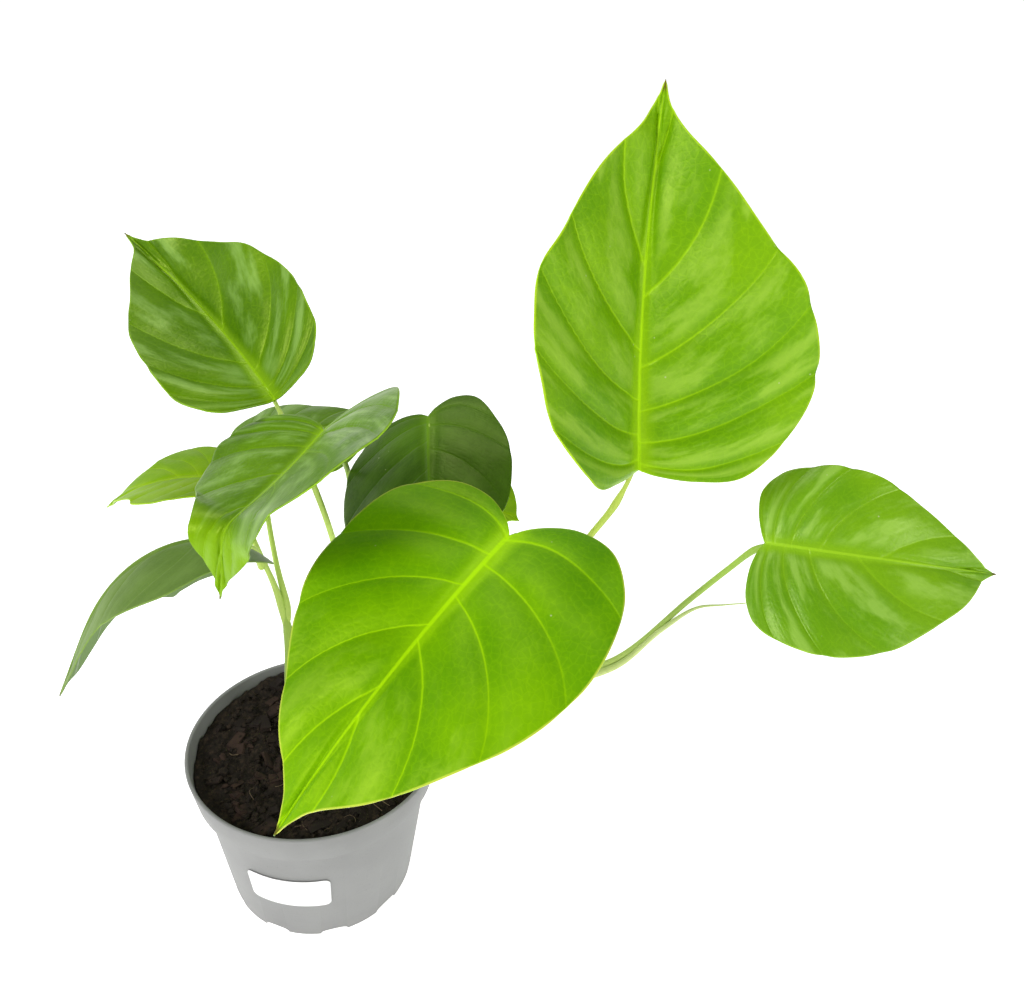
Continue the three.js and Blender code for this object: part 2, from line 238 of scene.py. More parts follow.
def finishPiece(name, mesh, paints):
    data = bpy.data.meshes.new(name)
    for face in mesh.faces:
        face.smooth = True
    mesh.to_mesh(data)
    mesh.free()
    made = bpy.data.objects.new(name, data)
    for paint in paints:
        data.materials.append(paint.material)
    bpy.context.scene.collection.objects.link(made)
    return made


def settle(piece, slot, *nodes):
    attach(piece, "root")
    if nodes:
        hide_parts(*nodes)


# The offset is -1 for inwards, 0 for both ways and 1 for outwards.
def thicken(piece, thickness, offset=0.0, inside=0, rim=0):
    solid = piece.modifiers.new("thickness", "SOLIDIFY")
    solid.thickness = thickness * mm
    solid.offset = offset
    solid.use_rim = True
    solid.material_offset = inside
    solid.material_offset_rim = rim


# The leaf blades, in millimetres and degrees. Heading, rise, droop and sweep lead the midrib,
# roll, fold and curl turn the face about it, and veins is how many leave it on each side.
leaves = {
    "front": dict(
        base=(88, -39, 233), length=130, right=54, left=58, lobes=(0.09, 0.13), belly=0.02,
        shoulder=0, heading=-124, rise=-14, droop=32, sweep=-11, roll=-6, fold=5, curl=8,
        # Its painted sheen starts at 0.35 of its length.
        tone="bright", paintedSheenFrom=0.35, veins=6.6, pleat=2.0, waves=5, wave=0.8, notch=0.5, seed=1,
    ),
    "upright": dict(
        base=(135, -19, 253), length=138, right=65, left=57, lobes=(0.04, 0.02), belly=0.06,
        shoulder=-0.03, heading=103, rise=66, droop=-8, sweep=-24, roll=21, twist=-15, fold=30,
        curl=10, tone="fresh", veins=7.2, pleat=2.8, waves=6, wave=0.9, notch=0.7, seed=2,
    ),
    "right": dict(
        base=(192, -7, 216), length=97, right=42, left=36, lobes=(0.05, 0.04), belly=0.04,
        shoulder=-0.02, heading=-21, rise=7, droop=22, sweep=38, roll=43, fold=11, curl=17,
        tone="glossy", veins=6.4, pleat=1.3, waves=3, wave=1.0, notch=0.4, seed=3,
    ),
    "rear": dict(
        base=(-7, 6, 261), length=117, right=39, left=39, lobes=(0.03, 0.02), belly=0.05, shoulder=0,
        heading=127, rise=17, droop=-8, sweep=22, roll=-27, fold=34, curl=6, tone="mid", veins=6.6,
        pleat=1.7, waves=5, wave=1.0, notch=0.7, seed=4,
    ),
    "creased": dict(
        base=(17, -17, 261), length=81, right=46, left=54, lobes=(0.08, 0.16), belly=0.02, shoulder=0,
        heading=-115, rise=-21, droop=61, bend=(0.56, 0.74), tipTwist=-48, tipNarrow=0.5,
        # Beyond 0.6 of its length the blade gets a painted backlight glow.
        backlitFrom=0.6, sweep=-28, roll=23, fold=13, curl=7, tone="mid", veins=7.5, pleat=1.1, waves=4,
        wave=0.8, notch=0.7, seed=5,
    ),
    "dark": dict(
        base=(51, 30, 246), length=89, right=48, left=34, lobes=(0.09, 0.11), belly=0.06,
        shoulder=0.02, heading=-84, rise=-22, droop=20, sweep=4, roll=24, fold=-10, curl=14,
        tone="dark", veins=7.5, pleat=0.6, waves=4, wave=0.6, notch=0.3, seed=6,
    ),
    "drooping": dict(
        base=(-27, 2, 195), length=110, right=27, left=34, lobes=(0.02, 0.06), belly=0.12,
        shoulder=-0.34, heading=-142, rise=48, droop=111, bend=(-0.2, 0.8), sweep=0, roll=45,
        fold=-30, curl=16, tone="grey", veins=6, pleat=0.25, waves=2, wave=0.2, notch=0, seed=7,
    ),
    "lime": dict(
        base=(-35, 18, 217), length=57, right=26, left=26, lobes=(0.12, 0.12), belly=0.13,
        shoulder=-0.12, heading=179, rise=5, droop=46, sweep=5, roll=2, fold=10, curl=10, tone="lime",
        veins=6.5, pleat=0.4, waves=3, wave=0.5, notch=0.2, seed=8,
    ),
    "inner": dict(
        base=(-29, 48, 215), length=68, right=39, left=35, lobes=(0.12, 0.08), belly=0.07,
        shoulder=-0.08, heading=37, rise=14, droop=28, sweep=-9, roll=-1, fold=5, curl=13, tone="mid",
        veins=6.5, pleat=0.5, waves=4, wave=0.5, notch=0.3, seed=9,
    ),
    "small": dict(
        base=(69, 46, 197), length=27, right=19, left=17, lobes=(0.12, 0.12), belly=0, shoulder=0.03,
        heading=-32, rise=5, droop=20, sweep=6, roll=14, fold=8, curl=9, tone="lime", veins=5.5,
        pleat=0.25, waves=3, wave=0.4, notch=0.1, seed=10,
    ),
}

# Half of the flat outline from sinus to tip: across / half width, along / length.
halfOutline = [
    (0, 0), (0.1, -0.5), (0.34, -1), (0.62, -0.85), (0.86, -0.1), (0.98, 0.13), (1, 0.27),
    (0.9, 0.45), (0.68, 0.63), (0.4, 0.785), (0.15, 0.885), (0.055, 0.94), (0, 1),
]
# The belly and shoulder pairs are the outline points that they move.
blade = dict(
    thickness=0.55, fullLength=130, stations=60, behind=0.25,
    columns=(16, 36), rows=(60, 150),
    belly=(4, 7), shoulder=(7, 9), lobeDroop=20, narrowing=(0.54, 0.68),
    arch=0.24, veinDrift=0.22, sideShift=0.3, threads=9,
    ribWidth=1.7, ribLift=0.22, grooveDepth=0.5, grooveReach=2.2, grooveWidth=1.6,
    # The last pair says where along the blade the painted sheen starts and over what share it fades in.
    uneven=0.45, unevenSpan=15, paintedSheenFrom=-0.5, paintedSheenSpan=0.3,
)

# Colours are linear. Deep, light and vein are the upper face's greens, gloss tints its reflections
# and thread is the strength of its lateral veins. The sheen strength and colour give a painted
# sheen: paler grey-green streaks that stand in for glossy reflections.
tones = {
    "bright": dict(
        deep=(0.080, 0.262, 0.0003), light=(0.165, 0.395, 0.0003), thread=0.55,
        vein=(0.400, 0.750, 0.001), under=(0.230, 0.440, 0.060), rough=0.36,
        gloss=(0.80, 1.0, 0.06), paintedSheen=0.55, paintedSheenColour=(0.290, 0.520, 0.030),
        rim=(0.620, 0.700, 0.080),
    ),
    "fresh": dict(
        deep=(0.092, 0.262, 0.0003), light=(0.155, 0.345, 0.0005), thread=0.35,
        vein=(0.420, 0.750, 0.003), under=(0.230, 0.420, 0.070), rough=0.32,
        gloss=(0.80, 1.0, 0.20), paintedSheen=0.62, paintedSheenColour=(0.300, 0.500, 0.050),
        rim=(0.420, 0.640, 0.010),
    ),
    "glossy": dict(
        deep=(0.100, 0.270, 0.001), light=(0.160, 0.350, 0.002), thread=0.16,
        vein=(0.300, 0.560, 0.010), under=(0.240, 0.410, 0.080), rough=0.27,
        gloss=(0.90, 1.0, 0.50), paintedSheen=0.55, paintedSheenColour=(0.340, 0.560, 0.090),
        rim=(0.300, 0.520, 0.010),
    ),
    "mid": dict(
        deep=(0.058, 0.160, 0.0003), light=(0.105, 0.240, 0.0005), thread=0.20,
        vein=(0.270, 0.500, 0.005), under=(0.200, 0.360, 0.070), rough=0.29,
        gloss=(0.85, 1.0, 0.18), paintedSheen=0.70, paintedSheenColour=(0.250, 0.430, 0.090),
        rim=(0.200, 0.380, 0.005),
    ),
    "dark": dict(
        deep=(0.028, 0.084, 0.001), light=(0.055, 0.135, 0.002), thread=0.14,
        vein=(0.110, 0.240, 0.004), under=(0.160, 0.290, 0.070), rough=0.36,
        gloss=(0.80, 1.0, 0.25), paintedSheen=0.40, paintedSheenColour=(0.095, 0.200, 0.015),
        rim=(0.100, 0.210, 0.004),
    ),
    "grey": dict(
        deep=(0.085, 0.165, 0.022), light=(0.130, 0.230, 0.036), thread=0.10,
        vein=(0.190, 0.320, 0.040), under=(0.190, 0.300, 0.100), rough=0.48,
        gloss=(0.95, 1.0, 0.60), paintedSheen=0.30, paintedSheenColour=(0.210, 0.330, 0.080),
        rim=(0.170, 0.290, 0.040),
    ),
    "lime": dict(
        deep=(0.170, 0.360, 0.0003), light=(0.280, 0.490, 0.0005), thread=0.22,
        vein=(0.400, 0.640, 0.004), under=(0.300, 0.500, 0.050), rough=0.42,
        gloss=(0.90, 1.0, 0.08), paintedSheen=0.30, paintedSheenColour=(0.330, 0.540, 0.010),
        rim=(0.350, 0.580, 0.010),
    ),
}


def sizeOf(leaf):
    return leaf["length"] / blade["fullLength"]


def midribOf(leaf):
    # Stations along the midrib, each with its frame: point, to the blade's left, out of its face.
    count = blade["stations"]
    behind = blade["behind"]
    bendFrom, bendTo = leaf.get("bend", (0, 1))
    step = (1 + behind) / (count - 1) * leaf["length"]
    points, lefts, ups, alongs = [], [], [], []
    for i in range(count):
        a = mixed(-behind, 1, i / (count - 1))
        g = clamp((a - bendFrom) / (bendTo - bendFrom))
        if "bend" in leaf:
            g = smooth(0, 1, g)
        lobeBend = blade["lobeDroop"] * max(-a, 0) / behind
        pitch = math.radians(leaf["rise"] - leaf["droop"] * g + lobeBend)
        heading = math.radians(leaf["heading"] + leaf["sweep"] * clamp(a))
        roll = leaf["roll"] + leaf.get("twist", 0) * clamp(a)
        roll = math.radians(roll + leaf.get("tipTwist", 0) * g)
        level = Vector((-math.sin(heading), math.cos(heading), 0))
        along = Vector((level.y, -level.x, 0)) * math.cos(pitch) + Vector((0, 0, math.sin(pitch)))
        left = level * math.cos(roll) + along.cross(level) * math.sin(roll)
        mean = (along + alongs[-1]) * step / 2 if alongs else Vector()
        points.append(points[-1] + mean if points else Vector())
        alongs.append(along)
        lefts.append(left)
        ups.append(along.cross(left))

    def between(values, a):
        place = clamp((a + behind) / (1 + behind)) * (count - 1)
        i = min(int(place), count - 2)
        return values[i].lerp(values[i + 1], place - i)

    shift = Vector(leaf["base"]) - between(points, 0)
    return lambda a: (between(points, a) + shift, between(lefts, a), between(ups, a))


def bladePoint(leaf, midrib, x, y, lift):
    # From the flat blade to space: across it bends away from its fold, and lift stands off its face.
    point, left, up = midrib(y / leaf["length"])
    side = 1 if x > 0 else -1
    bend = math.radians(leaf["curl"]) / leaf["right" if side > 0 else "left"]
    fold = math.radians(leaf["fold"])
    lean = fold - bend * abs(x)
    across = (math.sin(fold) - math.sin(lean)) / bend
    height = (math.cos(lean) - math.cos(fold)) / bend
    point = point - left * side * across + up * height
    return point + (up * math.cos(lean) + left * side * math.sin(lean)) * lift


def outlineOf(leaf, side):
    width = leaf["right" if side > 0 else "left"]
    lobe = leaf["lobes"][0 if side > 0 else 1]
    points = []
    for i, (across, along) in enumerate(halfOutline):
        wide = 1 + leaf["shoulder"] if blade["shoulder"][0] <= i <= blade["shoulder"][1] else 1
        slide = leaf["belly"] if blade["belly"][0] <= i <= blade["belly"][1] else 0
        lobed = along * lobe if along < 0 else along
        points.append(Vector((across * wide * width, (lobed + slide) * leaf["length"])))
    return lambda t: splinePoint(points, t)


def splinePoint(points, t):
    # A smooth line through evenly timed points.
    last = len(points) - 1
    i = min(int(t * last), last - 1)
    w = t * last - i
    p0, p1, p2, p3 = (points[clamp(k, 0, last)] for k in (i - 1, i, i + 1, i + 2))
    v0, v1 = (p2 - p0) / 2, (p3 - p1) / 2
    return cubicBetween(p1, p2, v0, v1, w)


def cubicBetween(start, end, leaving, arriving, w):
    # From start to end, with the given speeds at the two ends.
    cubic = 2 * start - 2 * end + leaving + arriving
    square = 3 * end - 3 * start - 2 * leaving - arriving
    return cubic * w**3 + square * w**2 + leaving * w + start


def veinStart(t):
    # Where along the midrib the row of this outline share begins.
    return 1 - (1 - t**2.6) ** 1.25


def veinPhase(leaf, side, reach, t):
    # Whole numbers are lateral veins, which bend forward towards the margin.
    forward = t - blade["arch"] * reach**1.7 * (1 - t) * smooth(0, 0.3, t)
    drift = blade["veinDrift"] * math.sin(9 * forward + leaf["seed"])
    return leaf["veins"] * forward + drift + (blade["sideShift"] if side > 0 else 0.0) + 0.5


def reachOf(share):
    # Closer columns beside the midrib and at the margin.
    return 1 - (1 - share**1.4) ** 1.3


def flatPoint(leaf, curves, u, v, side=None):
    side = side or (1 if u > 0.5 else -1)
    share = abs(2 * u - 1)
    reach = reachOf(share)
    edge = curves[side](v)
    waved = math.sin(math.pi * veinPhase(leaf, side, 1, v)) ** 2
    inward = leaf["notch"] * (1 - waved) ** 4 * smooth(0.3, 0.5, v) * (1 - v) * 2 / max(edge.x, 8)
    y = mixed(veinStart(v) * leaf["length"], edge.y, reach)
    narrow = leaf.get("tipNarrow", 0) * smooth(*blade["narrowing"], y / leaf["length"])
    return side, reach, side * reach * edge.x * (1 - inward) * (1 - narrow), y


def relief(leaf, side, reach, x, y, v):
    # Height of the face over its smooth form: pleats between veins, a rib, a wavy margin.
    size = sizeOf(leaf)
    arch = abs(math.sin(math.pi * veinPhase(leaf, side, reach, v))) ** 0.7 - 0.6
    fade = smooth(0.02, 0.35, reach) * (1 - 0.45 * smooth(0.6, 1, reach))
    fade = fade * smooth(0, 0.2, v) * smooth(1, 0.9, v)
    height = leaf["pleat"] * arch * fade
    along = clamp(y / leaf["length"])
    ribWidth = blade["ribWidth"] * size * (1.1 - along)
    height += blade["ribLift"] * size * math.exp(-((x / ribWidth) ** 2))
    groove = (abs(x) - blade["grooveReach"] * ribWidth) / (blade["grooveWidth"] * ribWidth)
    height -= blade["grooveDepth"] * size * math.exp(-(groove**2))
    ripple = math.sin(2 * math.pi * leaf["waves"] * v + leaf["seed"] * 1.7 + side)
    ends = smooth(0.15, 0.4, v) * smooth(1, 0.9, v)
    height += leaf["wave"] * ripple * reach**3 * ends
    dents = noise.noise(Vector((x, y, 40 * leaf["seed"])) / (blade["unevenSpan"] * size))
    height += blade["uneven"] * size * dents * smooth(0, 0.1, reach)
    return height * ends + height * (1 - ends) * 0.3


def veinGap(leaf, curves, side, reach, v):
    # Millimetres between neighbouring lateral veins here, square to them.
    step = 0.01
    first = rowPoint(leaf, curves, side, reach, max(v - step, 0))
    second = rowPoint(leaf, curves, side, reach, min(v + step, 1))
    across = rowPoint(leaf, curves, side, 1, v) - rowPoint(leaf, curves, side, 0, v)
    moved = second - first
    square = abs(moved.x * across.y - moved.y * across.x) / max(across.length, 0.01)
    return square / (2 * step * leaf["veins"])


def rowPoint(leaf, curves, side, reach, v):
    edge = curves[side](v)
    return Vector((edge.x * reach, mixed(veinStart(v) * leaf["length"], edge.y, reach)))


def makeBlade(name, leaf, paints):
    midrib = midribOf(leaf)
    curves = {-1: outlineOf(leaf, -1), 1: outlineOf(leaf, 1)}

    def place(u, v):
        side, reach, x, y = flatPoint(leaf, curves, u, v)
        return bladePoint(leaf, midrib, x, y, relief(leaf, side, reach, x, y, v))

    def flatMap(u, v, side):
        side, reach, x, y = flatPoint(leaf, curves, u, v, side)
        return x / 100 + 0.5, y / 100

    def veinMap(u, v, side):
        reach = reachOf(abs(2 * u - 1))
        return veinPhase(leaf, side, reach, v), veinGap(leaf, curves, side, reach, v)

    def edgeMap(u, v, side):
        side, reach, x, y = flatPoint(leaf, curves, u, v, side)
        edge = rowPoint(leaf, curves, side, 1, v)
        margin = (edge - Vector((abs(x), y))).length
        return margin, clamp(y / leaf["length"])

    size = clamp(sizeOf(leaf))
    columns = 2 * round(mixed(*blade["columns"], size))
    rows = round(mixed(*blade["rows"], size))
    maps = {"flat": flatMap, "veins": veinMap, "edge": edgeMap}
    made = gridMesh("blade_" + name, columns, rows, place, paints, maps)
    thicken(made, blade["thickness"], 0, 1, 2)
    settle(made, slotOf(leaf["tone"]), "leaf_" + name)


def slotOf(tone):
    slots = {"fresh": "leaf_bright"}
    return slots.get(tone, "leaf_" + tone)


def veinMarks(paint, scale):
    # Shared reading of a blade's maps: distances in millimetres.
    phase, gap, _ = paint.parts(paint.uv("veins"))
    x, y, _ = paint.parts(paint.uv("flat"))
    margin, along, _ = paint.parts(paint.uv("edge"))
    lateral = paint.maths("ABSOLUTE", paint.maths("FRACT", phase) - 0.5) * -1 + 0.5
    fine = paint.maths("ABSOLUTE", paint.maths("FRACT", phase * blade["threads"]) - 0.5) * -1 + 0.5
    return {
        "lateral": lateral * gap, "between": lateral, "phase": phase, "fine": fine,
        "rib": paint.maths("ABSOLUTE", x - 0.5) * 100, "ribWidth": (1.15 - along) * 1.25 * scale,
        "margin": margin, "along": along, "flat": paint.uv("flat"),
    }


topFinish = dict(
    broadScale=22, mottleScale=160, mottle=0.22, halo=3.2, stripes=0.07,
    networkScale=34, network=0.09, margin=0.7, speckScale=190, specks=0.7,
    # pale and its colour are a painted backlight glow on a folded tip, and burnt browns the very tip.
    speckColour=(0.50, 0.52, 0.30), pale=0.75, backlitColour=(0.210, 0.420, 0.001),
    burnt=0.85, burntFrom=(0.965, 0.985), burntColour=(0.10, 0.045, 0.012),
)


def bladeTop(name, leaf, tone, scale):
    paint = Paint("blade_top_" + name, Specular_IOR_Level=0.42, Specular_Tint=tone["gloss"])
    marks = veinMarks(paint, scale)
    where = paint.place()
    broad = paint.noise(where, topFinish["broadScale"], 3)
    mottle = paint.noise(where, topFinish["mottleScale"], 4, 0.6)
    paint.colour = paint.mix(paint.smooth(broad, 0.3, 0.7), tone["deep"], tone["light"])
    halo = 1 - paint.smooth(marks["lateral"], 0.2, topFinish["halo"])
    inner = 1 - paint.smooth(marks["rib"], 6 * scale, 40 * scale)
    paint.lay(halo * (0.2 + 0.5 * inner), tone["light"])
    broken = paint.noise(marks["flat"], 38, 2)
    stripe = 1 - (1 - paint.smooth(marks["fine"], 0.0, 0.4)) * paint.smooth(broken, 0.4, 0.65)
    paint.lay((1 - stripe) * topFinish["stripes"], tone["vein"])
    paint.lay(paint.smooth(mottle, 0.45, 0.75) * topFinish["mottle"], tone["deep"])
    cells = paint.cells(marks["flat"], topFinish["networkScale"], "DISTANCE_TO_EDGE")
    network = 1 - paint.smooth(cells, 0.0, 0.09)
    paint.lay(network * topFinish["network"], tone["vein"])
    # Painted sheen: pale grey-green streaks on the pleat crowns between the veins stand in for glossy
    # reflections.
    across, outwards = marks["phase"] * 1.3, marks["margin"] * 0.025
    streaky = paint.vector(across, outwards, leaf["seed"])
    paintedSheen = paint.smooth(paint.noise(streaky, 1.6, 4, 0.6), 0.42, 0.62)
    crown = paint.smooth(marks["between"], 0.05, 0.28) * paint.smooth(marks["rib"], 2.0, 7.0)
    paintedSheenFrom = leaf.get("paintedSheenFrom", blade["paintedSheenFrom"])
    paintedSheen = paintedSheen * paint.smooth(marks["along"], paintedSheenFrom, paintedSheenFrom + blade["paintedSheenSpan"])
    paint.lay(paintedSheen * crown * tone["paintedSheen"], tone["paintedSheenColour"])
    thread = 1 - paint.smooth(marks["lateral"], 0.1, 0.5 + 0.4 * scale)
    outward = 1 - paint.smooth(marks["rib"], 10 * scale, 55 * scale) * 0.7
    paint.lay(thread * outward * tone["thread"], tone["vein"])
    glow = 1 - paint.smooth(marks["rib"], marks["ribWidth"] * 0.5, marks["ribWidth"] * 6)
    paint.lay(glow * (0.5 - 0.5 * marks["along"]), tone["vein"])
    rib = 1 - paint.smooth(marks["rib"], marks["ribWidth"] * 0.35, marks["ribWidth"])
    paint.lay(rib * (0.9 - 0.4 * marks["along"]), tone["vein"])
    edge = 1 - paint.smooth(marks["margin"], 0.1 + 0.1 * scale, 0.3 + 0.5 * scale)
    paint.lay(edge * topFinish["margin"], tone["rim"])
    specks = 1 - paint.smooth(paint.cells(where, topFinish["speckScale"]), 0.03, 0.09)
    sparse = paint.smooth(paint.noise(where, 60 + leaf["seed"]), 0.60, 0.64)
    paint.lay(specks * sparse * topFinish["specks"], topFinish["speckColour"])
    # Painted backlight: beyond this share of its length the blade is lightened as if light shone through
    # it.
    if "backlitFrom" in leaf:
        pale = paint.smooth(marks["along"], leaf["backlitFrom"], leaf["backlitFrom"] + 0.1)
        paint.lay(pale * topFinish["pale"], topFinish["backlitColour"])
    burnt = paint.smooth(marks["along"], *topFinish["burntFrom"])
    paint.lay(burnt * topFinish["burnt"], topFinish["burntColour"])
    fineBump = paint.bump(stripe, 0.12, 0.0003)
    quilt = paint.bump(paint.smooth(cells, 0.0, 0.3), 0.10, 0.0003, fineBump)
    grain = paint.bump(paint.noise(where, 900, 2), 0.10, 0.0002, quilt)
    relief = paint.bump(paint.smooth(marks["lateral"], 0.0, 0.9), 0.25, 0.0005, grain)
    paint.finish(Normal=relief)
    paint.set(Roughness=tone["rough"] + mottle * 0.12 + rib * 0.12)
    return paint


def bladeUnderside(name, tone, scale):
    paint = Paint("blade_under_" + name, Specular_IOR_Level=0.35)
    marks = veinMarks(paint, scale)
    broad = paint.noise(paint.place(), 30, 3)
    deep = tuple(0.75 * channel for channel in tone["under"])
    paint.colour = paint.mix(broad, deep, tone["under"])
    pale = tuple(mixed(channel, 0.7, 0.35) for channel in tone["under"])
    thread = 1 - paint.smooth(marks["lateral"], 0.25, 0.9)
    paint.lay(thread * 0.5, pale)
    stripe = paint.smooth(marks["fine"], 0.0, 0.4)
    paint.lay((1 - stripe) * 0.1, pale)
    bump = paint.bump(1 - paint.smooth(marks["lateral"], 0.1, 0.9), 0.5, 0.0008)
    paint.finish(Normal=paint.bump(stripe, 0.1, 0.0003, bump))
    paint.set(Roughness=0.52 + broad * 0.1)
    return paint


def bladeRim(name, tone):
    paint = Paint("blade_rim_" + name, Specular_IOR_Level=0.4)
    patch = paint.smooth(paint.noise(paint.place(), 90, 2), 0.4, 0.7)
    paint.colour = paint.mix(patch, tone["rim"], tone["vein"])
    paint.finish(Roughness=0.4 + patch * 0.1)
    return paint


for leafName, leaf in leaves.items():
    tone = tones[leaf["tone"]]
    scale = sizeOf(leaf)
    top = bladeTop(leafName, leaf, tone, scale)
    under = bladeUnderside(leafName, tone, scale)
    makeBlade(leafName, leaf, [top, under, bladeRim(leafName, tone)])
print("blades made:", len(leaves))


# Stems, petioles and the furled shoot are tapered round stalks along smooth lines.
stems = {
    "left": [(-14, 8, 53), (-14, 8.5, 78), (-13, 11, 110), (-12, 13, 134), (-13, 14, 152)],
    "middle": [(8, 8, 53), (8, 9, 78), (10, 11, 100), (12, 12, 124)],
    "right": [(25, 8, 53), (27, 8, 78), (38, 7, 97), (54, 6, 108)],
}
petioles = {
    "front": [(37, 5.5, 96), (42, 3.5, 105), (52, -4, 130), (66, -18, 175), (80, -31, 215),
              (86.5, -37, 229)],
    "upright": [(38, 9, 97), (46, 9.5, 106), (72, 4, 135), (98, -4, 172), (120, -12, 217),
                (129, -16, 237)],
    "right": [(47, 6.5, 104), (57, 6, 110), (85, 5, 120), (112, 4, 129), (139, 2, 143), (167, -2, 182),
              (180, -4, 200), (189, -6, 212)],
    "rear": [(10.5, 11, 112), (11.5, 11.3, 124), (17, 11, 160), (12, 9, 196), (6, 8, 221), (1, 8, 236),
             (-4, 7.2, 251)],
    "creased": [(11.5, 12, 112), (13.6, 12, 122.3), (24, 20, 163), (20, 31, 195), (16.5, 34, 205),
                (15.5, 31, 217), (15.8, 21, 228), (16.5, 8, 239.5), (17, -6, 252)],
    "dark": [(11, 12.5, 112), (13, 14, 124), (26, 25, 160), (38, 33, 205), (47, 34, 234)],
    "drooping": [(-22, 15, 174), (-22.6, 13.4, 180), (-23.6, 10, 187)],
    "lime": [(-13, 13.5, 141), (-14, 14, 150.4), (-17, 15, 164), (-22, 16, 179), (-27, 17, 194),
             (-31.5, 18, 207)],
    "inner": [(-12.5, 13.5, 141), (-12, 14.8, 150.4), (-17, 21.5, 171), (-22, 32, 187), (-26, 43, 202)],
    "small": [(27.5, 9, 88), (30, 12, 99), (44, 24, 130), (58, 36, 165), (66, 43, 188)],
}
shoot = [(54, 5.5, 103), (57, 3.8, 107), (85, 3, 117.8), (112, 1.8, 127), (139.5, -0.2, 141.2),
         (157, -2.2, 165), (170, -5, 180), (180, -6.8, 183.5), (189, -8, 186)]
stalk = dict(
    stemRadius=2.4, petioleRadius=1.35, sheathRadius=2.2, sheathLength=26, longSheath=110,
    joinLength=14, joinStart=0.55, joinShortest=20, neck=0.18, neckLength=5,
    ribRadius=0.95, ribTip=0.28, ribEnd=0.94, ribPoints=12,
    shootRadius=1.1, shootSheath=2.3,
    around=14, stemAround=16, spacing=1.6, finer=24, capRows=3,
    greenBelow=0.09, paleAbove=0.21,
)


def smoothPath(points, spacing=stalk["spacing"]):
    # Evenly spaced points on a smooth line through the given ones.
    points = [Vector(point) for point in points]
    first = 2 * points[0] - points[1]
    last = 2 * points[-1] - points[-2]
    knots = [first, *points, last]
    dense = []
    for i in range(1, len(knots) - 2):
        p0, p1, p2, p3 = knots[i - 1:i + 3]
        gaps = [max((b - a).length, 0.01) ** 0.5 for a, b in ((p0, p1), (p1, p2), (p2, p3))]
        v1 = ((p1 - p0) / gaps[0] - (p2 - p0) / (gaps[0] + gaps[1]) + (p2 - p1) / gaps[1]) * gaps[1]
        v2 = ((p2 - p1) / gaps[1] - (p3 - p1) / (gaps[1] + gaps[2]) + (p3 - p2) / gaps[2]) * gaps[1]
        for k in range(stalk["finer"]):
            dense.append(cubicBetween(p1, p2, v1, v2, k / stalk["finer"]))
    dense.append(points[-1])
    lengths = [0.0]
    for a, b in zip(dense, dense[1:]):
        lengths.append(lengths[-1] + (b - a).length)
    count = max(6, round(lengths[-1] / spacing))
    path = []
    i = 0
    for k in range(count + 1):
        wanted = lengths[-1] * k / count
        while i < len(dense) - 2 and lengths[i + 1] < wanted:
            i += 1
        span = max(lengths[i + 1] - lengths[i], 1e-9)
        path.append(dense[i].lerp(dense[i + 1], clamp((wanted - lengths[i]) / span)))
    return path, lengths[-1]


def makeStalk(name, points, radiusAt, paint, around=stalk["around"], spacing=stalk["spacing"]):
    path, length = smoothPath(points, spacing)
    last = len(path) - 1
    sides, ups = [], []
    side = Vector((1, 0, 0)) if abs((path[1] - path[0]).normalized().x) < 0.8 else Vector((0, 1, 0))
    for i in range(last + 1):
        along = (path[min(i + 1, last)] - path[max(i - 1, 0)]).normalized()
        side = (side - along * side.dot(along)).normalized()
        sides.append(side)
        ups.append(along.cross(side))

    caps = stalk["capRows"]  # the rows at each end that close it with a round cap
    rows = last + 2 * caps

    def place(u, v):
        row = round(v * rows)
        i = int(clamp(row - caps, 0, last))
        share = i / last
        outside = max(caps - row, row - caps - last, 0) / caps
        radius = radiusAt(share, share * length)
        turn = 2 * math.pi * u
        ring = (sides[i] * math.cos(turn) + ups[i] * math.sin(turn)) * radius
        along = sides[i].cross(ups[i]) * (1 if i == last else -1)
        return path[i] + ring * math.sqrt(max(0, 1 - outside**2)) + along * radius * outside * 0.8

    def lengthMap(u, v, side):
        return u, v * length / 100

    return gridMesh(name, around, rows, place, [paint], {"stalk": lengthMap}, closed=True)


def stalkPaint(name, low, high, rough=0.42, streak=0.3):
    # Low colour at the pot, high colour by the blades, with fine lengthwise streaks.
    paint = Paint(name, Specular_IOR_Level=0.45)
    where = paint.place()
    height = paint.parts(where)[2]
    raised = paint.smooth(height, stalk["greenBelow"], stalk["paleAbove"])
    paint.colour = paint.mix(raised, low, high)
    around, along, _ = paint.parts(paint.uv("stalk"))
    stretched = paint.vector(around * 9, along * 3)
    streaks = paint.noise(stretched, 4, 3, 0.6)
    dark = tuple(0.55 * channel for channel in low)
    paint.lay(paint.smooth(streaks, 0.45, 0.75) * streak, dark)
    mottle = paint.noise(where, 420, 3)
    paint.lay(paint.smooth(mottle, 0.5, 0.8) * 0.2, dark)
    bump = paint.bump(streaks, 0.3, 0.0004)
    paint.finish(Roughness=rough + mottle * 0.15, Normal=bump)
    return paint


stemPaint = stalkPaint("stem_skin", (0.24, 0.38, 0.03), (0.40, 0.56, 0.09), 0.45, 0.35)
petiolePaint = stalkPaint("petiole_skin", (0.36, 0.50, 0.08), (0.56, 0.74, 0.14))
greenPetiolePaint = stalkPaint("green_petiole_skin", (0.20, 0.34, 0.03), (0.33, 0.50, 0.06))
rightPetiolePaint = stalkPaint("right_petiole_skin", (0.64, 0.78, 0.22), (0.30, 0.48, 0.05))
uprightPetiolePaint = stalkPaint("upright_petiole_skin", (0.34, 0.46, 0.06), (0.40, 0.52, 0.06))
shootPaint = stalkPaint("shoot_skin", (0.52, 0.62, 0.18), (0.60, 0.72, 0.28), 0.4, 0.15)


